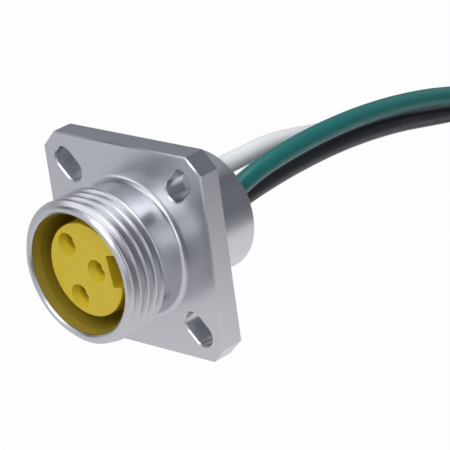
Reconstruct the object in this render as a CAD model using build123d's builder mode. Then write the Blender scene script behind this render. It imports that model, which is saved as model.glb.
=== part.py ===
from build123d import *
import os
from math import atan, cos, degrees, pi, radians, sin, tan

# Flange-mount circular receptacle, three contacts, with three insulated leads. Millimetres.
# The connector's axis is Y. The panel lies in the plane y = 0, the nose points to -Y and the
# rear barrel passes through the panel to +Y. Z is up.

# Flange: a square plate with its corners cut off, its edges a margin outside the fixing slots
flange_margin = 4.775
flange_thickness = 3.6
corner_cut = 2.55
flange_edge_break = 0.2

# Fixing slots, one on each diagonal of the flange
slot_spacing = 22.2
slot_length = 5.6
slot_width = 3.5

# Nose: threaded end, plain collar behind the thread
thread_major_diameter = 22.225
nose_length = 11.6
thread_length = 6.4
rim_chamfer = 0.95
rim_inner_chamfer = 0.25
collar_step = 0.8125
collar_fillet = 0.8

# Bores of the shell, the front one a wall inside the thread
nose_wall = 1.7625
rear_bore_diameter = 16.4
bore_step_depth = 1.6

# Rear barrel, behind the panel
barrel_diameter = 19.05
barrel_length = 12.7
barrel_chamfer = 0.4

# Insert: moulded carrier with a keyed tower standing in an annular groove
insert_fit = 0.04
skirt_wall = 0.35
skirt_setback = 0.35
skirt_lip = 0.05
skirt_entry_depth = 1.3
tower_diameter = 14.4
tower_setback = 1.95
tower_edge_radius = 0.25
groove_depth = 9.0
groove_fillet = 0.6
groove_fillet_share = 0.45
insert_rear_length = 2.5
key_angle = 8.0
key_floor_distance = 4.95
key_width = 4.9

# Contacts: a pair and one beside the keyway
contact_pair_spacing = 7.92
contact_row_gap = 4.78
contact_row_offset = 2.66
pin_entry_diameter = 3.4
pin_entry_depth = 1.2
contact_setback = 2.1
contact_fit = 0.05
socket_diameter = 3.5
socket_bore_diameter = 2.5
socket_bore_depth = 7.0
socket_mouth_chamfer = 0.25
socket_slot_width = 0.45
socket_slot_length = 5.0
shoulder_diameter = 4.2
shoulder_thickness = 1.2
shoulder_depth = 0.9
crimp_diameter = 3.0
crimp_bore_diameter = 1.9
crimp_bore_depth = 4.4
crimp_length = 5.4

# Potting that closes the rear barrel
potting_setback = 0.8

# Leads: 16 gauge hook-up wire, 305 mm long with the bare end
lead_diameter = 3.1
lead_length = 305.0
strands_diameter = 1.6
strands_fit = 0.1
lead_start = 7.0
lead_first_run = 6.0
arc_share = 0.45
bare_end_length = 7.0

# Coil of the stored length: a flat spiral for each lead, the three side by side
coil_radius = 19.7
coil_gap = 0.1
coil_entry_angle = 21.0
coil_lead_in = 11.5
coil_centre_y = 97.6
coil_centre_z = -32.9

# Derived places along Y
flange_front = -flange_thickness
rim_y = flange_front - nose_length
thread_end = rim_y + thread_length
tower_face = rim_y + tower_setback
groove_floor = rim_y + groove_depth
bore_step = -bore_step_depth
contact_front = tower_face + contact_setback
shoulder_front = bore_step - shoulder_depth
shoulder_rear = shoulder_front + shoulder_thickness
crimp_end = shoulder_rear + crimp_length
potting_face = barrel_length - potting_setback

# Derived sizes across the axis
flange_side = slot_spacing + 2 * flange_margin
major_radius = thread_major_diameter / 2
collar_radius = major_radius - collar_step
front_bore_radius = major_radius - nose_wall
rear_bore_radius = rear_bore_diameter / 2
barrel_radius = barrel_diameter / 2
skirt_radius = front_bore_radius - insert_fit
groove_radius = skirt_radius - skirt_wall
tower_radius = tower_diameter / 2
boss_radius = rear_bore_radius - insert_fit
groove_middle = (tower_radius + groove_radius) / 2
key_reach = groove_middle - key_floor_distance
floor_fillet = min(groove_fillet, groove_fillet_share * (groove_radius - tower_radius))
lead_radius = lead_diameter / 2
coil_pitch = lead_diameter + coil_gap

# Picking edges or corners by their place along Y: how far off it they may lie
pick_band = 0.01

# Planes across the axis, seen from the front: x to the right and z up, turned to the key
front_normal = (0, -1, 0)
rear_normal = (0, 1, 0)
key_direction = (cos(radians(key_angle)), 0, sin(radians(key_angle)))


def key_plane(y):
    """A plane across the axis at depth y, turned so that its x axis runs to the keyway."""
    return Plane(origin=(0, y, 0), x_dir=key_direction, z_dir=front_normal)


contact_points = [
    (-contact_row_offset, contact_pair_spacing / 2),
    (contact_row_gap - contact_row_offset, 0),
    (-contact_row_offset, -contact_pair_spacing / 2),
]
contact_centres = [key_plane(0).from_local_coords(Vector(x, z, 0)) for x, z in contact_points]

os.makedirs("parts", exist_ok=True)


def section(whole, front, rear, inner=0.0, outer=flange_side):
    """A piece's stretch from a front to a rear plane, and from an inner to an outer radius."""
    with BuildPart() as stretch:
        add(whole.part)
        with BuildSketch(Plane(origin=(0, front, 0), z_dir=rear_normal)):
            Circle(outer)
            if inner > 0:
                Circle(inner, mode=Mode.SUBTRACT)
        extrude(amount=rear - front, mode=Mode.INTERSECT)
    return stretch


# Shell: one machined piece, the flange with the nose in front and the barrel behind. It is
# saved in stretches, so that collision leaves its bore and its slots open.
with BuildPart() as shell:
    with BuildSketch(Plane.XZ):
        Rectangle(flange_side, flange_side)
        chamfer(vertices(), length=corner_cut)
        with PolarLocations(slot_spacing / 2 ** 0.5, 4, start_angle=45):
            SlotOverall(slot_length, slot_width, mode=Mode.SUBTRACT)
    extrude(amount=flange_thickness)
    front_edges = edges().filter_by_position(Axis.Y, flange_front - pick_band, flange_front + pick_band)
    chamfer(front_edges, length=flange_edge_break)
    with BuildSketch(Plane.XY):
        with BuildLine():
            Polyline(
                (0, rim_y),
                (major_radius - rim_chamfer, rim_y),
                (major_radius, rim_y + rim_chamfer),
                (major_radius, thread_end),
                (collar_radius, thread_end + major_radius - collar_radius),
                (collar_radius, flange_front / 2),
                (barrel_radius, flange_front / 2),
                (barrel_radius, barrel_length - barrel_chamfer),
                (barrel_radius - barrel_chamfer, barrel_length),
                (0, barrel_length),
                close=True,
            )
        make_face()
    revolve(axis=Axis.Y)
    rings = edges().filter_by(GeomType.CIRCLE)
    rings = rings.filter_by_position(Axis.Y, flange_front - pick_band, flange_front + pick_band)
    collar_foot = rings.sort_by(lambda edge: abs(edge.radius - collar_radius))[0]
    fillet(collar_foot, radius=collar_fillet)
    with BuildSketch(Plane.XY):
        with BuildLine():
            Polyline(
                (0, rim_y),
                (front_bore_radius + rim_inner_chamfer, rim_y),
                (front_bore_radius, rim_y + rim_inner_chamfer),
                (front_bore_radius, bore_step),
                (rear_bore_radius, bore_step),
                (rear_bore_radius, barrel_length),
                (0, barrel_length),
                close=True,
            )
        make_face()
    revolve(axis=Axis.Y, mode=Mode.SUBTRACT)
fillet_front = flange_front - collar_fillet
barrel_wall = barrel_radius - rear_bore_radius
shell_sections = {"shell_nose": section(shell, rim_y, fillet_front)}

# The barrel parts from the flange on a cone that ends at the flange's rear face
with BuildPart() as barrel:
    with BuildSketch(Plane.XY):
        with BuildLine():
            Polyline(
                (0, -barrel_wall),
                (rear_bore_radius, -barrel_wall),
                (barrel_radius, 0),
                (flange_side, 0),
                (flange_side, barrel_length),
                (0, barrel_length),
                close=True,
            )
        make_face()
    revolve(axis=Axis.Y)
    add(shell.part, mode=Mode.INTERSECT)
shell_sections["shell_barrel"] = barrel
flange_plate = section(shell, fillet_front, 0.0)
with flange_plate:
    add(barrel.part, mode=Mode.SUBTRACT)

# The flange's corners, each with its slot, are cut off between the slot and the collar's foot
slot_inner_end = slot_spacing / 2 ** 0.5 - slot_length / 2
corner_distance = (slot_inner_end + collar_radius + collar_fillet) / 2
outward_directions = [Vector(x, 0, z).normalized() for x, z in ((1, 1), (-1, 1), (-1, -1), (1, -1))]
corner_planes = [Plane(origin=out * corner_distance, z_dir=out) for out in outward_directions]
with BuildPart() as flange_middle:
    add(flange_plate.part)
    for plane in corner_planes:
        split(bisect_by=plane, keep=Keep.BOTTOM)
shell_sections["shell_flange"] = flange_middle
for number, plane in enumerate(corner_planes, start=1):
    with BuildPart() as flange_corner:
        add(flange_plate.part)
        split(bisect_by=plane, keep=Keep.TOP)
    shell_sections[f"shell_corner_{number}"] = flange_corner
for name, stretch in shell_sections.items():
    stretch.part.label = name
    export_step(stretch.part, f"parts/{name}.step")


# Contacts: turned sockets with a split mouth, a shoulder and a crimp barrel
def socket_contact(centre):
    """A contact on its own axis, through the centre of its hole in the insert."""
    profile_plane = Plane(origin=(centre.X, 0, centre.Z), x_dir=(1, 0, 0), z_dir=(0, 0, 1))
    contact_axis = Axis((centre.X, 0, centre.Z), (0, 1, 0))
    with BuildPart() as contact:
        with BuildSketch(profile_plane):
            with BuildLine():
                Polyline(
                    (0, contact_front + socket_bore_depth),
                    (socket_bore_diameter / 2, contact_front + socket_bore_depth),
                    (socket_bore_diameter / 2, contact_front + socket_mouth_chamfer),
                    (socket_bore_diameter / 2 + socket_mouth_chamfer, contact_front),
                    (socket_diameter / 2, contact_front),
                    (socket_diameter / 2, shoulder_front),
                    (shoulder_diameter / 2, shoulder_front),
                    (shoulder_diameter / 2, shoulder_rear),
                    (crimp_diameter / 2, shoulder_rear),
                    (crimp_diameter / 2, crimp_end),
                    (crimp_bore_diameter / 2, crimp_end),
                    (crimp_bore_diameter / 2, crimp_end - crimp_bore_depth),
                    (0, crimp_end - crimp_bore_depth),
                    close=True,
                )
            make_face()
        revolve(axis=contact_axis)
        mouth = (centre.X, contact_front, centre.Z)
        with BuildSketch(Plane(origin=mouth, x_dir=key_direction, z_dir=rear_normal)):
            Rectangle(shoulder_diameter, socket_slot_width)
        extrude(amount=socket_slot_length, mode=Mode.SUBTRACT)
    return contact


contacts = [socket_contact(centre) for centre in contact_centres]
for number, contact in enumerate(contacts, start=1):
    contact.part.label = f"socket_contact_{number}"
    export_step(contact.part, f"parts/socket_contact_{number}.step")

# Insert: one moulding, tapered skirt, groove, keyed tower and the contacts' cavities. Its pin
# holes run in line with the bores of the contacts behind them. It too is saved as three solids,
# so that collision leaves the groove open for the plug's sleeve.
pin_hole_diameter = socket_bore_diameter
pin_entry_taper = degrees(atan((pin_entry_diameter - pin_hole_diameter) / 2 / pin_entry_depth))
with BuildPart() as insert:
    with BuildSketch(Plane.XY):
        with BuildLine():
            Polyline(
                (0, tower_face),
                (tower_radius, tower_face),
                (tower_radius, groove_floor),
                (groove_radius, groove_floor),
                (groove_radius, rim_y + skirt_setback + skirt_entry_depth),
                (skirt_radius - skirt_lip, rim_y + skirt_setback),
                (skirt_radius, rim_y + skirt_setback),
                (skirt_radius, bore_step),
                (boss_radius, bore_step),
                (boss_radius, insert_rear_length),
                (0, insert_rear_length),
                close=True,
            )
        make_face()
        floor_corners = vertices().filter_by_position(
            Axis.Y, groove_floor - pick_band, groove_floor + pick_band
        )
        fillet(floor_corners, radius=floor_fillet)
        tower_corner = vertices().sort_by(
            lambda corner: abs(corner.X - tower_radius) + abs(corner.Y - tower_face)
        )[:1]
        fillet(tower_corner, radius=tower_edge_radius)
    revolve(axis=Axis.Y)
    with BuildSketch(key_plane(tower_face)):
        with Locations((key_floor_distance + key_reach / 2, 0)):
            Rectangle(key_reach, key_width)
    extrude(amount=tower_face - groove_floor, mode=Mode.SUBTRACT)
    with BuildSketch(key_plane(tower_face)):
        with Locations(*contact_points):
            Circle(pin_entry_diameter / 2)
    extrude(amount=-pin_entry_depth, taper=pin_entry_taper, mode=Mode.SUBTRACT)
    with BuildSketch(key_plane(tower_face)):
        with Locations(*contact_points):
            Circle(pin_hole_diameter / 2)
    extrude(amount=-(insert_rear_length - tower_face), mode=Mode.SUBTRACT)
    with BuildSketch(key_plane(insert_rear_length)):
        with Locations(*contact_points):
            Circle(socket_diameter / 2 + contact_fit)
    extrude(amount=insert_rear_length - contact_front, mode=Mode.SUBTRACT)
    with BuildSketch(key_plane(insert_rear_length)):
        with Locations(*contact_points):
            Circle(shoulder_diameter / 2 + contact_fit)
    extrude(amount=insert_rear_length - shoulder_front, mode=Mode.SUBTRACT)
groove_foot = groove_floor - floor_fillet
insert_sections = {
    "insert_tower": section(insert, tower_face, groove_foot, outer=groove_middle),
    "insert_skirt": section(insert, rim_y, groove_foot, inner=groove_middle),
    "insert_body": section(insert, groove_foot, insert_rear_length),
}
for name, stretch in insert_sections.items():
    stretch.part.label = name
    export_step(stretch.part, f"parts/{name}.step")

# Coil: where the spiral starts, and its radius after any turn from there
turn_drop = coil_pitch / 360


def spiral_radius(angle):
    """Radius of the wire's middle line at an angle past the top of the coil, in degrees."""
    return coil_radius - turn_drop * (angle - coil_entry_angle)


def spiral_point(radius, angle):
    """The y and z of a point of the coil, its angle measured from the top towards +Y."""
    turn = radians(angle)
    return (coil_centre_y + radius * sin(turn), coil_centre_z + radius * cos(turn))


# Leads: the points that each one follows from the potting to the coil, chosen by hand
lead_names = ["white", "green", "black"]
lead_layers = [-coil_pitch, coil_pitch, 0.0]
white_route = [
    (-3.27, 21, 3.30),
    (-3.34, 32, 3.25),
    (-3.42, 44, 0.36),
    (-3.50, 56, -1.32),
    (-3.50, 68, -3.9),
    (-3.4, 81, -6.9),
]
green_route = [
    (1.95, 21, 2.75),
    (1.80, 32, 3.53),
    (1.65, 44, 3.17),
    (1.50, 56, 1.65),
    (1.80, 68, -0.9),
    (3.1, 81, -5.2),
]
black_route = [
    (-1.54, 21, -1.96),
    (-0.99, 32, -0.78),
    (-0.44, 44, -0.64),
    (0.10, 56, -1.85),
    (0.10, 68, -4.6),
    (0.05, 81, -7.3),
]
lead_routes = [white_route, green_route, black_route]


def lead_points(centre, middle, layer):
    """The whole route: straight out of the contact, the chosen points, straight into the coil."""
    entry = Vector(layer, *spiral_point(coil_radius, coil_entry_angle))
    heading = Vector(0, cos(radians(coil_entry_angle)), -sin(radians(coil_entry_angle)))
    first = Vector(centre.X, lead_start, centre.Z)
    second = first + Vector(0, lead_first_run, 0)
    return [first, second, *[Vector(*point) for point in middle], entry - heading * coil_lead_in, entry]


def corner_radii(points):
    """Wide arcs: each takes most of half of the shorter run at its corner."""
    radii = []
    for before, corner, after in zip(points, points[1:], points[2:]):
        run_in = corner - before
        run_out = after - corner
        half_turn = radians(run_in.get_angle(run_out)) / 2
        radii.append(arc_share * min(run_in.length, run_out.length) / tan(half_turn))
    return radii


leads = []
coil_turn_angles = []
for name, centre, middle, layer in zip(lead_names, contact_centres, lead_routes, lead_layers):
    points = lead_points(centre, middle, layer)
    radii = corner_radii(points)
    with BuildPart() as lead:
        with BuildLine():
            route = FilletPolyline(*points, radius=radii)
        with BuildSketch(Plane(origin=points[0], z_dir=rear_normal)):
            Circle(lead_radius)
        sweep(path=route)
    lead.part.label = f"{name}_lead"
    export_step(lead.part, f"parts/{name}_lead.step")
    leads.append(lead)
    run_length = route.length
    full_volume = pi * lead_radius ** 2 * run_length
    print(name, "run", round(run_length, 1), "smallest radius", round(min(radii), 1))
    print(name, "radii", [round(radius) for radius in radii])
    print(name, "volume ratio", round(lead.part.volume / full_volume, 4))
    # the turns that take up the rest of the lead, less its bare end
    stored_length = lead_length - run_length - bare_end_length
    last_radius = (coil_radius ** 2 - coil_pitch * stored_length / pi) ** 0.5
    turns = (coil_radius - last_radius) / coil_pitch
    coil_turn_angles.append(turns * 360)
    print(name, "stored", round(stored_length, 1), "turns", round(turns, 3))


# Coils: the outer shape of each lead's flat spiral, open in the middle
def spiral_wall(offset, start):
    """One full turn of the spiral's edge, from the start angle, in twelve steps."""
    angles = [start + 360 * step / 12 for step in range(13)]
    return [spiral_point(spiral_radius(angle) + offset, angle) for angle in angles]


for name, layer, turn_angle in zip(lead_names, lead_layers, coil_turn_angles):
    last_angle = coil_entry_angle + turn_angle
    outer_edge = spiral_wall(lead_radius, coil_entry_angle)
    inner_edge = spiral_wall(-lead_radius, last_angle - 360)
    with BuildPart() as coil:
        side = (layer - lead_radius, 0, 0)
        with BuildSketch(Plane(origin=side, x_dir=(0, 1, 0), z_dir=(1, 0, 0))):
            with BuildLine():
                Spline(*outer_edge)
                Line(outer_edge[-1], outer_edge[0])
            make_face()
            with BuildLine():
                Spline(*inner_edge)
                Line(inner_edge[-1], inner_edge[0])
            make_face(mode=Mode.SUBTRACT)
        extrude(amount=lead_diameter)
    coil.part.label = f"{name}_coil"
    export_step(coil.part, f"parts/{name}_coil.step")

    # Bare end: the tinned strands past the insulation, bent on with the coil
    bare_radius = spiral_radius(last_angle)
    bare_sweep = degrees(bare_end_length / bare_radius)
    bare_angles = [last_angle, last_angle + bare_sweep / 2, last_angle + bare_sweep]
    bare_points = [(layer, *spiral_point(bare_radius, angle)) for angle in bare_angles]
    with BuildPart() as bare_end:
        with BuildLine():
            bare_line = ThreePointArc(*bare_points)
        with BuildSketch(Plane(origin=bare_line @ 0, z_dir=bare_line % 0)):
            Circle(strands_diameter / 2)
        sweep(path=bare_line)
    bare_end.part.label = f"{name}_bare_end"
    export_step(bare_end.part, f"parts/{name}_bare_end.step")

# Crimped strands: the stripped front of each lead, in its contact's crimp barrel
crimped_strands = []
strands_front = crimp_end - crimp_bore_depth + strands_fit
for name, centre in zip(lead_names, contact_centres):
    with BuildPart() as strands:
        with BuildSketch(Plane(origin=(centre.X, strands_front, centre.Z), z_dir=rear_normal)):
            Circle(strands_diameter / 2)
        extrude(amount=lead_start - strands_front)
    strands.part.label = f"{name}_crimped_strands"
    export_step(strands.part, f"parts/{name}_crimped_strands.step")
    crimped_strands.append(strands)

# Potting: cast in the rear barrel round the crimps and the leads
with BuildPart() as potting:
    with BuildSketch(Plane(origin=(0, insert_rear_length, 0), z_dir=rear_normal)):
        Circle(rear_bore_radius)
    extrude(amount=potting_face - insert_rear_length)
    for piece in [*contacts, *crimped_strands, *leads]:
        add(piece.part, mode=Mode.SUBTRACT)
potting.part.label = "potting"
export_step(potting.part, "parts/potting.step")
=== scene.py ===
import math

import bmesh
import bpy
from mathutils import Euler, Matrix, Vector


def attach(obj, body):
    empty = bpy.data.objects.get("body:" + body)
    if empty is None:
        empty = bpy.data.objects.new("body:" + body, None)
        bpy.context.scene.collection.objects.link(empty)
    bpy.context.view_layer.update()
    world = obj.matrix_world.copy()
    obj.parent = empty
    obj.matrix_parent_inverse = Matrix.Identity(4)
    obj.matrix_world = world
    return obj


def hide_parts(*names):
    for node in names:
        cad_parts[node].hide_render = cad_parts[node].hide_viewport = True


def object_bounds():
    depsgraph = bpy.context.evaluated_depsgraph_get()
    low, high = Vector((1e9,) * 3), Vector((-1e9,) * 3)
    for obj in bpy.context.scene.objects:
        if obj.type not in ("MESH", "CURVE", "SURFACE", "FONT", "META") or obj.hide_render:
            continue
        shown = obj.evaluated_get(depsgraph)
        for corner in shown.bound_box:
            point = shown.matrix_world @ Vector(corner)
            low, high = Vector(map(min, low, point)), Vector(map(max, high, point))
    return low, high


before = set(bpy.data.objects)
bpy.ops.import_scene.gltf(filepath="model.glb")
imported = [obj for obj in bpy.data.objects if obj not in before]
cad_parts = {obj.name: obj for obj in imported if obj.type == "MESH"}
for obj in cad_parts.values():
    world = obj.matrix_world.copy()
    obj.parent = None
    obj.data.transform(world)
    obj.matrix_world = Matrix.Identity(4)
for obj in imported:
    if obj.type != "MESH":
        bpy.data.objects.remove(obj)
cad_low, cad_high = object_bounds()

# Camera, at the photograph's viewing angle: in front of the connector, to its right and above.
# It was fitted to the flange's corners, the rim and the thread's lines. The lens is long, so
# near and far edges keep almost the same scale.
camera_data = bpy.data.cameras.new("camera")
camera_data.sensor_width = 36.0
camera_data.lens = 217.96
camera_data.clip_start = 0.01
camera = bpy.data.objects.new("camera", camera_data)
camera.location = (0.27082, -0.25292, 0.14616)
camera.rotation_euler = Euler([math.radians(angle) for angle in (68.317, 7.36, 42.318)])
bpy.context.scene.collection.objects.link(camera)
bpy.context.scene.camera = camera
bpy.context.scene.view_settings.view_transform = "Standard"

# Floor: a sheet of white paper, well below the connector, which its panel holds up. It shows as
# white to the camera. In the metal it shows painted light instead: white underneath, at the right
# and behind, with a painted dark place in front at the right, a grey one far off at the right behind.
floor_gap = 0.004
floor_level = cad_low.z - floor_gap
floor_half = 2.0
floor_signs = ((-1, -1), (1, -1), (1, 1), (-1, 1))
white_share = 0.98


def linear(code):
    """The linear colour, as a shader socket takes it, of an sRGB hex code."""
    parts = [int(code[place:place + 2], 16) / 255 for place in (0, 2, 4)]
    return [*(part / 12.92 if part <= 0.04045 else ((part + 0.055) / 1.055) ** 2.4 for part in parts), 1]


def add_node(tree, kind, settings, links):
    """Adds a node, sets its properties and its sockets' values, and links sources to its sockets."""
    node = tree.nodes.new(kind)
    for name, value in settings.items():
        if isinstance(name, str) and hasattr(node, name):
            setattr(node, name, value)
        else:
            node.inputs[name].default_value = value
    for name, source in links.items():
        tree.links.new(source, node.inputs[name])
    return node


def new_material(name):
    """An empty material and its node tree."""
    material = bpy.data.materials.new(name)
    material.use_nodes = True
    material.node_tree.nodes.clear()
    return material, material.node_tree


def heading(azimuth, elevation):
    """The direction at an azimuth, 0 in front and 90 at the right, and an elevation, in degrees."""
    turn, rise = math.radians(azimuth), math.radians(elevation)
    return Vector((math.sin(turn) * math.cos(rise), -math.cos(turn) * math.cos(rise), math.sin(rise)))


def painted(tree, place, ground, patches):
    """A colour that depends on the direction of place from the connector: the ground, and round
    patches with soft edges, each with its heading, the angles at which it is full and gone, and
    its colour."""
    away = add_node(tree, "ShaderNodeVectorMath", {"operation": "NORMALIZE"}, {0: place})
    settings, links = {6: linear(ground)}, {}
    for azimuth, elevation, full, gone, code in patches:
        nearness = add_node(
            tree,
            "ShaderNodeVectorMath",
            {"operation": "DOT_PRODUCT", 1: heading(azimuth, elevation)},
            {0: away.outputs[0]},
        )
        share = add_node(
            tree,
            "ShaderNodeMapRange",
            {
                "interpolation_type": "SMOOTHSTEP",
                "From Min": math.cos(math.radians(gone)),
                "From Max": math.cos(math.radians(full)),
            },
            {"Value": nearness.outputs["Value"]},
        )
        settings |= {"data_type": "RGBA", 7: linear(code)}
        mixed = add_node(tree, "ShaderNodeMix", settings, links | {0: share.outputs[0]})
        settings, links = {}, {6: mixed.outputs[2]}
    return mixed.outputs[2]


def white_paper():
    """Smooth white paper: white to the camera, with the faintest shadow. Mirror rays see painted
    light instead: a glowing pale sheet with white, grey and dark places, as painted reflections."""
    material, tree = new_material("white_paper")
    place = add_node(tree, "ShaderNodeTexCoord", {}, {}).outputs["Object"]
    # Painted reflection: glowing patches that only mirror rays see, not marks on the paper.
    colour = painted(
        tree,
        place,
        "d7d8dc",
        (
            (0, -50, 34, 54, "f4f4f6"),
            (24, -12, 8, 24, "3c3f46"),
            (94, -44, 26, 46, "ffffff"),
            (160, -46, 26, 42, "ffffff"),
            (142, -6, 10, 22, "6f727b"),
        ),
    )
    paper = add_node(tree, "ShaderNodeBsdfDiffuse", {"Color": linear("8c8c8e")}, {})
    white = add_node(tree, "ShaderNodeEmission", {"Strength": 1.0}, {})
    shown = add_node(tree, "ShaderNodeEmission", {"Strength": 1.0}, {"Color": colour})
    ray = add_node(tree, "ShaderNodeLightPath", {}, {}).outputs
    shiny = add_node(
        tree,
        "ShaderNodeMath",
        {"operation": "MAXIMUM"},
        {0: ray["Is Glossy Ray"], 1: ray["Is Transmission Ray"]},
    )
    seen = add_node(
        tree, "ShaderNodeMath", {"operation": "MULTIPLY", 1: white_share}, {0: ray["Is Camera Ray"]}
    )
    mirrored = add_node(
        tree, "ShaderNodeMixShader", {}, {0: shiny.outputs[0], 1: paper.outputs[0], 2: shown.outputs[0]}
    )
    mix = add_node(
        tree, "ShaderNodeMixShader", {}, {0: seen.outputs[0], 1: mirrored.outputs[0], 2: white.outputs[0]}
    )
    add_node(tree, "ShaderNodeOutputMaterial", {}, {"Surface": mix.outputs[0]})
    return material


floor_mesh = bpy.data.meshes.new("floor")
floor_corners = [(x * floor_half, y * floor_half, floor_level) for x, y in floor_signs]
floor_mesh.from_pydata(floor_corners, [], [(0, 1, 2, 3)])
floor = bpy.data.objects.new("floor", floor_mesh)
floor_mesh.materials.append(white_paper())
bpy.context.scene.collection.objects.link(floor)

# Light: a dark grey tent round the connector, white in front overhead and low at the right, pale
# at the left and behind. Four soft lamps stand in it: the key, high in front at the right, a low
# one at the right, a wide one low in front at the left, and one overhead.


def light_tent(tree):
    """The tent's light, which the camera sees as a plain white backdrop."""
    colour = painted(
        tree,
        add_node(tree, "ShaderNodeTexCoord", {}, {}).outputs["Generated"],
        "55585f",
        (
            (-92, 6, 16, 38, "d7d8dc"),
            (180, 4, 16, 36, "f0f0f2"),
            (-126, 40, 14, 36, "a0a3aa"),
            (120, 20, 14, 36, "7c7f88"),
            (180, 66, 12, 32, "a0a3aa"),
            (0, 66, 24, 42, "e6e7ea"),
            (60, 6, 14, 32, "ffffff"),
        ),
    )
    tent = add_node(tree, "ShaderNodeBackground", {"Strength": 1.0}, {"Color": colour})
    backdrop = add_node(tree, "ShaderNodeBackground", {"Color": linear("ffffff"), "Strength": 1.0}, {})
    ray = add_node(tree, "ShaderNodeLightPath", {}, {}).outputs
    mix = add_node(
        tree, "ShaderNodeMixShader", {}, {0: ray["Is Camera Ray"], 1: tent.outputs[0], 2: backdrop.outputs[0]}
    )
    add_node(tree, "ShaderNodeOutputWorld", {}, {"Surface": mix.outputs[0]})


def soft_lamp(name, azimuth, elevation, distance, width, height, brightness):
    """A soft lamp at that heading and distance from the connector, facing it. brightness is what a
    mirror would show of it, where 1 is white."""
    data = bpy.data.lights.new(name, "AREA")
    data.shape = "RECTANGLE"
    data.size, data.size_y = width, height
    data.energy = brightness * math.pi * width * height
    lamp = bpy.data.objects.new(name, data)
    lamp.location = heading(azimuth, elevation) * distance
    lamp.rotation_euler = (-lamp.location).to_track_quat("-Z", "Y").to_euler()
    bpy.context.scene.collection.objects.link(lamp)


world = bpy.data.worlds.new("tent")
world.use_nodes = True
world.node_tree.nodes.clear()
bpy.context.scene.world = world
light_tent(world.node_tree)
# Each lamp has its name, azimuth, elevation, distance, width, height and brightness.
soft_lamp("key", 21, 43, 0.6, 0.36, 0.36, 2.7)
soft_lamp("side", 56, 15, 0.6, 0.30, 0.30, 1.1)
soft_lamp("front", -24, 14, 0.6, 0.60, 0.36, 1.6)
soft_lamp("overhead", 180, 80, 0.5, 0.28, 0.28, 2.8)

# Shell: one piece of aluminium alloy, turned and milled from bar, then clear anodised. The
# threaded nose and plain collar stand in front of the square flange with its four slots, and
# the smooth barrel goes through the panel behind it.
millimetre = 0.001
ring_segments = 288
rows_per_turn = 20
thread_pitch = 1.5875 * millimetre
major_radius = 11.1125 * millimetre
thread_depth = 0.974 * millimetre
rim_level = cad_low.y
rim_chamfer = 0.95 * millimetre
thread_end = rim_level + 6.4 * millimetre
collar_radius = 10.3 * millimetre
collar_start = thread_end + major_radius - collar_radius
foot_radius = 0.8 * millimetre
foot_steps = 8
flange_front = -3.6 * millimetre
flange_side = 31.75 * millimetre
corner_leg = 2.55 * millimetre
edge_break = 0.2 * millimetre
slot_spacing = 22.2 * millimetre
slot_width = 3.5 * millimetre
slot_length = 5.6 * millimetre
slot_end_steps = 24
slot_diagonals = (45, 135, 225, 315)
bore_radius = 9.35 * millimetre
bore_chamfer = 0.25 * millimetre
bore_shoulder = -1.6 * millimetre
rear_bore_radius = 8.2 * millimetre
barrel_radius = 9.525 * millimetre
barrel_end = 12.7 * millimetre
barrel_chamfer = 0.4 * millimetre
crisp_angle = 38
least_flat = 0.9999
merge_distance = 0.003 * millimetre


def clear_anodised_aluminium():
    """Aluminium alloy 6061, turned on a lathe and clear anodised: a grey, satin mirror with
    fine tool marks that run round the axis, each about 0.05 mm wide, and a sheen that changes
    slowly, over about 5 mm."""
    mark_spacing = millimetre / 9
    mark_height = 0.01 * millimetre
    cloud_size = 5 * millimetre
    material, tree = new_material("clear_anodised_aluminium")
    place = add_node(tree, "ShaderNodeTexCoord", {}, {})
    parts = add_node(tree, "ShaderNodeSeparateXYZ", {}, {0: place.outputs["Object"]})
    across = add_node(tree, "ShaderNodeCombineXYZ", {}, {0: parts.outputs[0], 2: parts.outputs[2]})
    radius = add_node(tree, "ShaderNodeVectorMath", {"operation": "LENGTH"}, {0: across.outputs[0]})
    marks_place = add_node(
        tree, "ShaderNodeCombineXYZ", {}, {0: radius.outputs["Value"], 1: parts.outputs[1]}
    )
    marks = add_node(
        tree,
        "ShaderNodeTexNoise",
        {"Scale": 1 / mark_spacing, "Detail": 3.0, "Roughness": 0.6},
        {"Vector": marks_place.outputs[0]},
    )
    cloud = add_node(
        tree,
        "ShaderNodeTexNoise",
        {"Scale": 1 / cloud_size, "Detail": 1.0},
        {"Vector": place.outputs["Object"]},
    )
    satin = add_node(
        tree,
        "ShaderNodeMapRange",
        {"From Min": 0.3, "From Max": 0.7, "To Min": 0.28, "To Max": 0.32},
        {"Value": cloud.outputs[0]},
    )
    bump = add_node(
        tree,
        "ShaderNodeBump",
        {"Strength": 0.25, "Distance": mark_height},
        {"Height": marks.outputs[0]},
    )
    metal = add_node(
        tree,
        "ShaderNodeBsdfPrincipled",
        {"Base Color": linear("c5c6cb"), "Metallic": 1.0},
        {"Roughness": satin.outputs[0], "Normal": bump.outputs[0]},
    )
    add_node(tree, "ShaderNodeOutputMaterial", {}, {"Surface": metal.outputs[0]})
    return material


def new_tree(name, floats, whole_numbers):
    """A Geometry Nodes tree with these inputs, its inputs' identifiers and their sockets by name."""
    tree = bpy.data.node_groups.new(name, "GeometryNodeTree")
    identifiers = {}
    for names, kind in ((floats, "NodeSocketFloat"), (whole_numbers, "NodeSocketInt")):
        for socket_name in names:
            socket = tree.interface.new_socket(socket_name, in_out="INPUT", socket_type=kind)
            identifiers[socket_name] = socket.identifier
    tree.interface.new_socket("Mesh", in_out="OUTPUT", socket_type="NodeSocketGeometry")
    given = add_node(tree, "NodeGroupInput", {}, {}).outputs
    return tree, identifiers, {socket_name: given[socket_name] for socket_name in identifiers}


def work_out(tree, values, steps):
    """Adds the sums in steps to values. Each step is its result's name, the operation, and the
    numbers or earlier values that it takes."""
    for result, operation, *terms in steps:
        settings, links = {"operation": operation}, {}
        for number, term in enumerate(terms):
            (links if term in values else settings)[number] = values.get(term, term)
        values[result] = add_node(tree, "ShaderNodeMath", settings, links).outputs[0]


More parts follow.
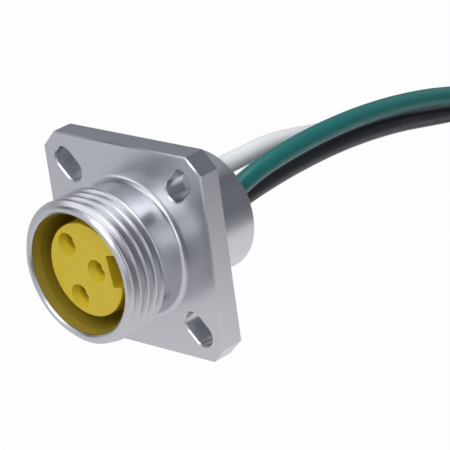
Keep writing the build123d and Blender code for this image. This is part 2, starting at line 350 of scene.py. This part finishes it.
def place_and_finish(tree, geometry, values, names, finish, tube_radius=None):
    """Moves each point to the place that the three named values give, makes tubes of curves, and
    gives the mesh its finish."""
    place = add_node(
        tree, "ShaderNodeCombineXYZ", {}, {number: values[name] for number, name in enumerate(names)}
    )
    moved = add_node(
        tree, "GeometryNodeSetPosition", {}, {"Geometry": geometry, "Position": place.outputs[0]}
    ).outputs[0]
    if tube_radius:
        ring = add_node(
            tree, "GeometryNodeCurvePrimitiveCircle", {"Resolution": 8}, {"Radius": tube_radius}
        )
        moved = add_node(
            tree,
            "GeometryNodeCurveToMesh",
            {"Fill Caps": True},
            {"Curve": moved, "Profile Curve": ring.outputs[0]},
        ).outputs[0]
    whole = add_node(tree, "GeometryNodeRealizeInstances", {}, {"Geometry": moved})
    finished = add_node(tree, "GeometryNodeSetMaterial", {"Material": finish}, {"Geometry": whole.outputs[0]})
    add_node(tree, "NodeGroupOutput", {}, {0: finished.outputs[0]})


def thread_tree(finish):
    """Geometry Nodes for the nose's outside: a sheet of rows that run along the thread's helix,
    rolled up, with its radius cut by the thread. The flanks stand at 60 degrees to each other,
    the crest is an eighth of the pitch wide, and towards both ends the groove runs out."""
    half_crest = 1 / 16
    flank_slope = math.sqrt(3)
    crest_rounding = 0.08 * millimetre
    root_rounding = 0.2 * millimetre
    lead_in_rounding = 0.05 * millimetre
    end_slope = 0.6
    tree, sockets, values = new_tree(
        "coupling_thread",
        (
            "Pitch", "Major Radius", "Depth", "Rim", "Rim Radius",
            "Thread End", "Collar Start", "Collar Radius",
        ),
        ("Segments", "Rows per Turn", "Rows"),
    )
    work_out(tree, values, (("columns", "ADD", "Segments", 1), ("lines", "ADD", "Rows", 1)))
    sheet = add_node(
        tree,
        "GeometryNodeMeshGrid",
        {"Size X": 1.0, "Size Y": 1.0},
        {"Vertices X": values["columns"], "Vertices Y": values["lines"]},
    )
    at = add_node(tree, "GeometryNodeInputPosition", {}, {})
    flat = add_node(tree, "ShaderNodeSeparateXYZ", {}, {0: at.outputs[0]})
    values |= {"x": flat.outputs[0], "y": flat.outputs[1]}
    work_out(
        tree,
        values,
        (
            ("step", "DIVIDE", "Pitch", "Rows per Turn"),
            ("turn", "ADD", "x", 0.5),
            ("row", "MULTIPLY", "y", "Rows"),
            ("row", "MULTIPLY_ADD", "Rows", 0.5, "row"),
            ("climb", "MULTIPLY", "turn", "Pitch"),
            ("level", "MULTIPLY_ADD", "row", "step", "Rim"),
            ("level", "SUBTRACT", "level", "climb"),
            ("level", "MAXIMUM", "level", "Rim"),
            ("level", "MINIMUM", "level", "Collar Start"),
            ("phase", "ADD", "level", "climb"),
            ("phase", "DIVIDE", "phase", "Pitch"),
            ("phase", "FRACT", "phase"),
            ("cut", "SUBTRACT", "phase", 0.5),
            ("cut", "ABSOLUTE", "cut"),
            ("cut", "SUBTRACT", "cut", half_crest),
            ("cut", "MULTIPLY", "cut", flank_slope),
            ("cut", "MULTIPLY", "cut", "Pitch"),
            ("cut", "SMOOTH_MAX", "cut", 0.0, crest_rounding),
            ("cut", "SMOOTH_MIN", "cut", "Depth", root_rounding),
            ("outside", "SUBTRACT", "Major Radius", "cut"),
            ("from_rim", "SUBTRACT", "level", "Rim"),
            ("lead_in", "ADD", "Rim Radius", "from_rim"),
            ("past_end", "SUBTRACT", "level", "Thread End"),
            ("run_out", "SUBTRACT", "Major Radius", "past_end"),
            ("outside", "SMOOTH_MIN", "outside", "lead_in", lead_in_rounding),
            ("outside", "MINIMUM", "outside", "run_out"),
            ("lip", "MULTIPLY_ADD", "from_rim", -end_slope, "Rim Radius"),
            ("foot", "MINIMUM", "past_end", 0.0),
            ("foot", "MULTIPLY_ADD", "foot", end_slope, "Collar Radius"),
            ("outside", "MAXIMUM", "outside", "lip"),
            ("outside", "MAXIMUM", "outside", "foot"),
            ("angle", "MULTIPLY", "turn", math.tau),
            ("x_share", "COSINE", "angle"),
            ("z_share", "SINE", "angle"),
            ("rolled_x", "MULTIPLY", "outside", "x_share"),
            ("rolled_z", "MULTIPLY", "outside", "z_share"),
        ),
    )
    place_and_finish(tree, sheet.outputs[0], values, ("rolled_x", "level", "rolled_z"), finish)
    return tree, sockets


def mesh_from_tree(tree, sockets, values):
    """Runs a Geometry Nodes tree with these input values and returns its mesh."""
    carrier = bpy.data.objects.new("carrier", bpy.data.meshes.new("carrier"))
    bpy.context.scene.collection.objects.link(carrier)
    modifier = carrier.modifiers.new("shape", "NODES")
    modifier.node_group = tree
    for name, value in values.items():
        modifier[sockets[name]] = value
    depsgraph = bpy.context.evaluated_depsgraph_get()
    mesh = bpy.data.meshes.new_from_object(carrier.evaluated_get(depsgraph), depsgraph=depsgraph)
    bpy.data.objects.remove(carrier)
    return mesh


def circle_outline(radius):
    """Points of a circle about the axis, from +X towards +Z."""
    angles = [math.tau * i / ring_segments for i in range(ring_segments)]
    return [(radius * math.cos(angle), radius * math.sin(angle)) for angle in angles]


def flange_outline(inset):
    """The square with its corners cut off, drawn in by inset on every side."""
    half = flange_side / 2 - inset
    corner_distance = (flange_side - corner_leg) / math.sqrt(2) - inset
    near = corner_distance * math.sqrt(2) - half
    return [
        (half, -near), (half, near), (near, half), (-near, half),
        (-half, near), (-half, -near), (-near, -half), (near, -half),
    ]


def slot_outline(diagonal, grow):
    """A fixing slot, long along its diagonal of the flange, made wider by grow all round."""
    centre = slot_spacing / math.sqrt(2)
    radius = slot_width / 2 + grow
    half_straight = (slot_length - slot_width) / 2
    turn = math.radians(diagonal)
    points = []
    for end, first in ((1, -90), (-1, 90)):
        for i in range(slot_end_steps + 1):
            angle = math.radians(first + 180 * i / slot_end_steps)
            along = centre + end * half_straight + radius * math.cos(angle)
            aside = radius * math.sin(angle)
            x = along * math.cos(turn) - aside * math.sin(turn)
            z = along * math.sin(turn) + aside * math.cos(turn)
            points.append((x, z))
    return points


def loop_at(mesh, outline, level):
    """A loop of vertices along an outline of (x, z) points, at that place on the axis."""
    return [mesh.verts.new((x, level, z)) for x, z in outline]


def wall_between(mesh, first, second):
    """A band of faces between two loops with the same number of vertices."""
    for i in range(len(first)):
        mesh.faces.new((first[i - 1], first[i], second[i], second[i - 1]))


def fill_flat(mesh, loops):
    """Fills the flat area inside the first loop and outside the others."""
    edges = []
    for loop in loops:
        for i in range(len(loop)):
            pair = (loop[i - 1], loop[i])
            edges.append(mesh.edges.get(pair) or mesh.edges.new(pair))
    bmesh.ops.triangle_fill(mesh, use_beauty=True, use_dissolve=False, edges=edges)


def finish_shading(mesh):
    """Smooth shading. Edges sharper than the crisp angle stay crisp, and so do those round the
    flat faces that look along the axis."""
    mesh.normal_update()
    for face in mesh.faces:
        face.smooth = True
    for edge in mesh.edges:
        if len(edge.link_faces) == 2:
            flat = [abs(face.normal.y) > least_flat for face in edge.link_faces]
            edge.smooth = edge.calc_face_angle(0) < math.radians(crisp_angle) and flat[0] == flat[1]


def shell_mesh(finish):
    """The whole shell as one closed mesh: the threaded nose from its tree, the other turned faces
    from their profiles, and the flange with its slots, its front edges broken."""
    nose_rows = math.ceil((collar_start - rim_level) / thread_pitch * rows_per_turn)
    tree, sockets = thread_tree(finish)
    thread = mesh_from_tree(
        tree,
        sockets,
        {
            "Pitch": thread_pitch,
            "Major Radius": major_radius,
            "Depth": thread_depth,
            "Rim": rim_level,
            "Rim Radius": major_radius - rim_chamfer,
            "Thread End": thread_end,
            "Collar Start": collar_start,
            "Collar Radius": collar_radius,
            "Segments": ring_segments,
            "Rows per Turn": rows_per_turn,
            "Rows": nose_rows + rows_per_turn,
        },
    )
    mesh = bmesh.new()
    mesh.from_mesh(thread)
    front_profile = [(collar_radius, collar_start)]
    for i in range(foot_steps + 1):
        turn = math.radians(90 * i / foot_steps)
        front_profile.append(
            (
                collar_radius + foot_radius * (1 - math.cos(turn)),
                flange_front - foot_radius * (1 - math.sin(turn)),
            )
        )
    rear_profile = [
        (barrel_radius, 0.0),
        (barrel_radius, barrel_end - barrel_chamfer),
        (barrel_radius - barrel_chamfer, barrel_end),
        (rear_bore_radius, barrel_end),
        (rear_bore_radius, bore_shoulder),
        (bore_radius, bore_shoulder),
        (bore_radius, rim_level + bore_chamfer),
        (bore_radius + bore_chamfer, rim_level),
        (major_radius - rim_chamfer, rim_level),
    ]
    front_loops = [loop_at(mesh, circle_outline(radius), level) for radius, level in front_profile]
    rear_loops = [loop_at(mesh, circle_outline(radius), level) for radius, level in rear_profile]
    for loops in (front_loops, rear_loops):
        for first, second in zip(loops, loops[1:]):
            wall_between(mesh, first, second)
    outlines = [(flange_outline(edge_break), flange_outline(0.0))]
    for diagonal in slot_diagonals:
        outlines.append((slot_outline(diagonal, edge_break), slot_outline(diagonal, 0.0)))
    front_faces = [front_loops[-1]]
    rear_faces = [rear_loops[0]]
    for broken, full in outlines:
        edge_front = loop_at(mesh, broken, flange_front)
        edge_side = loop_at(mesh, full, flange_front + edge_break)
        edge_rear = loop_at(mesh, full, 0.0)
        wall_between(mesh, edge_front, edge_side)
        wall_between(mesh, edge_side, edge_rear)
        front_faces.append(edge_front)
        rear_faces.append(edge_rear)
    fill_flat(mesh, front_faces)
    fill_flat(mesh, rear_faces)
    bmesh.ops.remove_doubles(mesh, verts=mesh.verts, dist=merge_distance)
    bmesh.ops.recalc_face_normals(mesh, faces=mesh.faces)
    finish_shading(mesh)
    result = bpy.data.meshes.new("machined_shell")
    mesh.to_mesh(result)
    mesh.free()
    result.materials.clear()
    result.materials.append(finish)
    return result


machined_shell = bpy.data.objects.new("machined_shell", shell_mesh(clear_anodised_aluminium()))
bpy.context.scene.collection.objects.link(machined_shell)
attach(machined_shell, "root")
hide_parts("shell_nose", "shell_flange", "shell_barrel")
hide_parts(*(f"shell_corner_{number}" for number in (1, 2, 3, 4)))

# Insert: one moulding in mustard yellow thermoset, pressed into the shell from behind. Its
# keyed tower stands in an annular groove, with three tapered holes that lead the pins in. The
# skirt round the groove gets a darker, browner copy of the tower's yellow: painted shade for
# the groove's wall, which is the same yellow moulding.


def moulded_thermoset(name, darker, lighter):
    """Glass-filled diallyl phthalate, compression moulded: an even colour with a dull sheen and a
    faint grain from the filler, whose light and dark places are about 0.2 mm across."""
    grain_spacing = 0.4 * millimetre
    grain_height = 0.03 * millimetre
    cloud_size = millimetre / 0.3
    material, tree = new_material(name)
    place = add_node(tree, "ShaderNodeTexCoord", {}, {})
    grain = add_node(
        tree,
        "ShaderNodeTexNoise",
        {"Scale": 1 / grain_spacing, "Detail": 3.0},
        {"Vector": place.outputs["Object"]},
    )
    cloud = add_node(
        tree,
        "ShaderNodeTexNoise",
        {"Scale": 1 / cloud_size, "Detail": 3.0},
        {"Vector": place.outputs["Object"]},
    )
    colour = add_node(
        tree,
        "ShaderNodeMix",
        {"data_type": "RGBA", 6: linear(darker), 7: linear(lighter)},
        {0: cloud.outputs[0]},
    )
    bump = add_node(
        tree, "ShaderNodeBump", {"Strength": 0.12, "Distance": grain_height}, {"Height": grain.outputs[0]}
    )
    plastic = add_node(
        tree,
        "ShaderNodeBsdfPrincipled",
        {"Roughness": 0.42, "IOR": 1.55},
        {"Base Color": colour.outputs[2], "Normal": bump.outputs[0]},
    )
    add_node(tree, "ShaderNodeOutputMaterial", {}, {"Surface": plastic.outputs[0]})
    return material


def dress(node_name, finish):
    """Gives a piece of the frame its finish."""
    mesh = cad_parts[node_name].data
    mesh.materials.clear()
    mesh.materials.append(finish)


yellow_moulding = moulded_thermoset("yellow_moulding", "d2b520", "dec42a")
dress("insert_tower", yellow_moulding)
dress("insert_body", yellow_moulding)
# Painted shade: the skirt's darker, browner yellow stands in for the shade deep in the groove.
dress("insert_skirt", moulded_thermoset("painted_shade_moulding", "8a781f", "9a8727"))

# Socket contacts: three turned in brass and flashed with gold, with a split mouth that grips
# the pin, a shoulder that seats in the insert and a barrel crimped on the lead.


def gold_flashed_brass():
    """Turned brass with a thin gold flash: a warm, half-bright metal, dark in the holes, whose
    tool marks show as a faint unevenness."""
    mark_spacing = 0.25 * millimetre
    mark_height = 0.01 * millimetre
    material, tree = new_material("gold_flashed_brass")
    place = add_node(tree, "ShaderNodeTexCoord", {}, {})
    marks = add_node(
        tree,
        "ShaderNodeTexNoise",
        {"Scale": 1 / mark_spacing, "Detail": 2.0},
        {"Vector": place.outputs["Object"]},
    )
    bump = add_node(
        tree, "ShaderNodeBump", {"Strength": 0.1, "Distance": mark_height}, {"Height": marks.outputs[0]}
    )
    metal = add_node(
        tree,
        "ShaderNodeBsdfPrincipled",
        {"Base Color": linear("d8b368"), "Metallic": 1.0, "Roughness": 0.3},
        {"Normal": bump.outputs[0]},
    )
    add_node(tree, "ShaderNodeOutputMaterial", {}, {"Surface": metal.outputs[0]})
    return material


contact_finish = gold_flashed_brass()
for number in (1, 2, 3):
    dress(f"socket_contact_{number}", contact_finish)

# Leads: three lengths of stranded hook-up wire, 305 mm each, insulated in white, green and
# black PVC. Each comes straight out of the potting behind its contact, droops past the view
# and is put away as a flat coil. The numbers of the coils and the routes are in millimetres.
lead_diameter = 3.1 * millimetre
coil_centre = (97.6, -32.9)
coil_radius = 19.7
coil_pitch = 3.2
coil_entry_angle = 21.0
coil_steps_per_turn = 24
lead_routes = {
    "white": [
        (-3.185, 7, 3.551), (-3.185, 13, 3.551), (-3.27, 21, 3.30), (-3.34, 32, 3.25), (-3.42, 44, 0.36),
        (-3.50, 56, -1.32), (-3.50, 68, -3.9), (-3.4, 81, -6.9), (-3.2, 93.92, -10.39),
    ],
    "green": [
        (2.099, 7, 0.295), (2.099, 13, 0.295), (1.95, 21, 2.75), (1.80, 32, 3.53), (1.65, 44, 3.17),
        (1.50, 56, 1.65), (1.80, 68, -0.9), (3.1, 81, -5.2), (3.2, 93.92, -10.39),
    ],
    "black": [
        (-2.083, 7, -4.292), (-2.083, 13, -4.292), (-1.54, 21, -1.96), (-0.99, 32, -0.78), (-0.44, 44, -0.64),
        (0.10, 56, -1.85), (0.10, 68, -4.6), (0.05, 81, -7.3), (0.0, 93.92, -10.39),
    ],
}
lead_layers = {"white": -3.2, "green": 3.2, "black": 0.0}
coil_turns = {"white": 1.891, "green": 1.880, "black": 1.892}
insulation_colours = {"white": "f4f5f6", "green": "0a6f6c", "black": "272730"}


def pvc_insulation(name, code):
    """Extruded PVC insulation: a smooth, slightly waxy sheen, with a faint unevenness about
    3 mm long where the strands show through."""
    wave_length = millimetre / 0.35
    wave_height = 0.1 * millimetre
    material, tree = new_material(f"{name}_pvc_insulation")
    place = add_node(tree, "ShaderNodeTexCoord", {}, {})
    waves = add_node(
        tree,
        "ShaderNodeTexNoise",
        {"Scale": 1 / wave_length, "Detail": 3.0},
        {"Vector": place.outputs["Object"]},
    )
    bump = add_node(
        tree, "ShaderNodeBump", {"Strength": 0.2, "Distance": wave_height}, {"Height": waves.outputs[0]}
    )
    sheen = add_node(
        tree,
        "ShaderNodeMapRange",
        {"From Min": 0.3, "From Max": 0.7, "To Min": 0.34, "To Max": 0.46},
        {"Value": waves.outputs[0]},
    )
    plastic = add_node(
        tree,
        "ShaderNodeBsdfPrincipled",
        {"Base Color": linear(code), "IOR": 1.53},
        {"Roughness": sheen.outputs[0], "Normal": bump.outputs[0]},
    )
    add_node(tree, "ShaderNodeOutputMaterial", {}, {"Surface": plastic.outputs[0]})
    return material


def coil_point(layer, angle):
    """A point of a coil's middle line, at an angle from the coil's top towards the back, in mm."""
    radius = coil_radius - coil_pitch / 360 * (angle - coil_entry_angle)
    turn = math.radians(angle)
    return (layer, coil_centre[0] + radius * math.sin(turn), coil_centre[1] + radius * math.cos(turn))


def line_curve(name, points):
    """A smooth curve with these points, in millimetres, as its control points."""
    curve = bpy.data.curves.new(name, "CURVE")
    curve.dimensions = "3D"
    spline = curve.splines.new("NURBS")
    spline.points.add(len(points) - 1)
    for point, place in zip(spline.points, points):
        point.co = (*(value * millimetre for value in place), 1.0)
    spline.order_u = 3
    spline.use_endpoint_u = True
    return curve


# Bare ends: the last 7 mm of each lead, stripped. Nineteen tinned copper strands, twisted
# together, a centre one with a ring of six and a ring of twelve round it, a little loose at
# their tips. They bend on with the coil. Each lead is made together with its bare end.
bare_end_length = 7.0
strand_count = 19
strand_radius = 0.16 * millimetre
strand_twist = 0.6


def tinned_copper():
    """Hot-tinned copper strands: a pale grey metal with a soft shine, uneven from place to place
    over about two thirds of a millimetre."""
    cloud_size = millimetre / 1.5
    material, tree = new_material("tinned_copper")
    place = add_node(tree, "ShaderNodeTexCoord", {}, {})
    cloud = add_node(
        tree,
        "ShaderNodeTexNoise",
        {"Scale": 1 / cloud_size, "Detail": 2.0},
        {"Vector": place.outputs["Object"]},
    )
    shine = add_node(
        tree,
        "ShaderNodeMapRange",
        {"From Min": 0.3, "From Max": 0.7, "To Min": 0.28, "To Max": 0.42},
        {"Value": cloud.outputs[0]},
    )
    metal = add_node(
        tree,
        "ShaderNodeBsdfPrincipled",
        {"Base Color": linear("cfcdc8"), "Metallic": 1.0},
        {"Roughness": shine.outputs[0]},
    )
    add_node(tree, "ShaderNodeOutputMaterial", {}, {"Surface": metal.outputs[0]})
    return material


def strands_tree(finish):
    """Geometry Nodes for a bare end: nineteen lines side by side, wound round an arc in twisted
    rings and made tubes. Along x each line runs from 0 to 1, and y is its number: 0 is the
    centre strand, 1 to 6 the inner ring, and the rest the outer ring."""
    last_inner = 6
    tip_looseness = 0.15
    tree, sockets, values = new_tree(
        "bare_strands",
        ("Layer", "Centre Y", "Centre Z", "Radius", "Start Angle", "Sweep", "Strand Radius", "Twist"),
        ("Strands",),
    )
    line = add_node(tree, "GeometryNodeCurvePrimitiveLine", {"End": (1, 0, 0)}, {})
    stepped = add_node(tree, "GeometryNodeResampleCurve", {"Count": 16}, {"Curve": line.outputs[0]})
    row = add_node(tree, "GeometryNodeMeshLine", {"Offset": (0, 1, 0)}, {"Count": values["Strands"]})
    lines = add_node(
        tree, "GeometryNodeInstanceOnPoints", {}, {"Points": row.outputs[0], "Instance": stepped.outputs[0]}
    )
    separate = add_node(tree, "GeometryNodeRealizeInstances", {}, {"Geometry": lines.outputs[0]})
    at = add_node(tree, "GeometryNodeInputPosition", {}, {})
    flat = add_node(tree, "ShaderNodeSeparateXYZ", {}, {0: at.outputs[0]})
    values |= {"x": flat.outputs[0], "y": flat.outputs[1]}
    work_out(
        tree,
        values,
        (
            ("in_inner", "GREATER_THAN", "y", 0.5),
            ("in_outer", "GREATER_THAN", "y", last_inner + 0.5),
            ("ring", "ADD", "in_inner", "in_outer"),
            ("places", "MULTIPLY", "ring", last_inner),
            ("turn", "DIVIDE", "y", "places"),
            ("turn", "MULTIPLY_ADD", "x", "Twist", "turn"),
            ("phase", "MULTIPLY", "turn", math.tau),
            ("looseness", "POWER", "x", 3),
            ("looseness", "MULTIPLY_ADD", "looseness", tip_looseness, 1),
            ("off_line", "MULTIPLY", "ring", "Strand Radius"),
            ("off_line", "MULTIPLY", "off_line", 2),
            ("off_line", "MULTIPLY", "off_line", "looseness"),
            ("aside", "COSINE", "phase"),
            ("aside", "MULTIPLY_ADD", "aside", "off_line", "Layer"),
            ("out", "SINE", "phase"),
            ("out", "MULTIPLY_ADD", "out", "off_line", "Radius"),
            ("angle", "MULTIPLY_ADD", "x", "Sweep", "Start Angle"),
            ("back", "SINE", "angle"),
            ("back", "MULTIPLY_ADD", "back", "out", "Centre Y"),
            ("up", "COSINE", "angle"),
            ("up", "MULTIPLY_ADD", "up", "out", "Centre Z"),
        ),
    )
    place_and_finish(
        tree,
        separate.outputs[0],
        values,
        ("aside", "back", "up"),
        finish,
        tube_radius=values["Strand Radius"],
    )
    return tree, sockets


strand_finish = tinned_copper()
bundle_tree, bundle_sockets = strands_tree(strand_finish)
for name, route in lead_routes.items():
    layer = lead_layers[name]
    last_angle = coil_entry_angle + coil_turns[name] * 360
    steps = math.ceil(coil_turns[name] * coil_steps_per_turn)
    angles = [coil_entry_angle + (last_angle - coil_entry_angle) * i / steps for i in range(steps + 1)]
    curve = line_curve(f"{name}_insulation", route + [coil_point(layer, angle) for angle in angles])
    curve.bevel_depth = lead_diameter / 2
    curve.bevel_resolution = 6
    curve.use_fill_caps = True
    curve.materials.append(pvc_insulation(name, insulation_colours[name]))
    cord = bpy.data.objects.new(f"{name}_wire", curve)
    bpy.context.scene.collection.objects.link(cord)
    bare_radius = coil_radius - coil_pitch * coil_turns[name]
    bundle = mesh_from_tree(
        bundle_tree,
        bundle_sockets,
        {
            "Layer": layer * millimetre,
            "Centre Y": coil_centre[0] * millimetre,
            "Centre Z": coil_centre[1] * millimetre,
            "Radius": bare_radius * millimetre,
            "Start Angle": math.radians(last_angle),
            "Sweep": bare_end_length / bare_radius,
            "Strand Radius": strand_radius,
            "Twist": strand_twist,
            "Strands": strand_count,
        },
    )
    bundle.shade_smooth()
    bare_strands = bpy.data.objects.new(f"{name}_bare_strands", bundle)
    bpy.context.scene.collection.objects.link(bare_strands)
    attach(bare_strands, "root")
    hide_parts(f"{name}_bare_end")
    dress(f"{name}_crimped_strands", strand_finish)
    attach(cord, "root")
    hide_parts(f"{name}_lead", f"{name}_coil")

# Potting: black epoxy resin, poured into the rear barrel round the contacts' crimps and the
# leads. It closes the barrel and takes the leads' pull. It hardens with a smooth, uneven face.


def black_epoxy():
    """Filled epoxy resin, cast: near black and smooth, with a slow unevenness from shrinking,
    about 3 mm long."""
    wave_length = millimetre / 0.35
    wave_height = 0.3 * millimetre
    material, tree = new_material("black_epoxy")
    place = add_node(tree, "ShaderNodeTexCoord", {}, {})
    waves = add_node(
        tree,
        "ShaderNodeTexNoise",
        {"Scale": 1 / wave_length, "Detail": 2.0},
        {"Vector": place.outputs["Object"]},
    )
    bump = add_node(
        tree, "ShaderNodeBump", {"Strength": 0.4, "Distance": wave_height}, {"Height": waves.outputs[0]}
    )
    resin = add_node(
        tree,
        "ShaderNodeBsdfPrincipled",
        {"Base Color": linear("232326"), "Roughness": 0.28, "IOR": 1.55},
        {"Normal": bump.outputs[0]},
    )
    add_node(tree, "ShaderNodeOutputMaterial", {}, {"Surface": resin.outputs[0]})
    return material


dress("potting", black_epoxy())
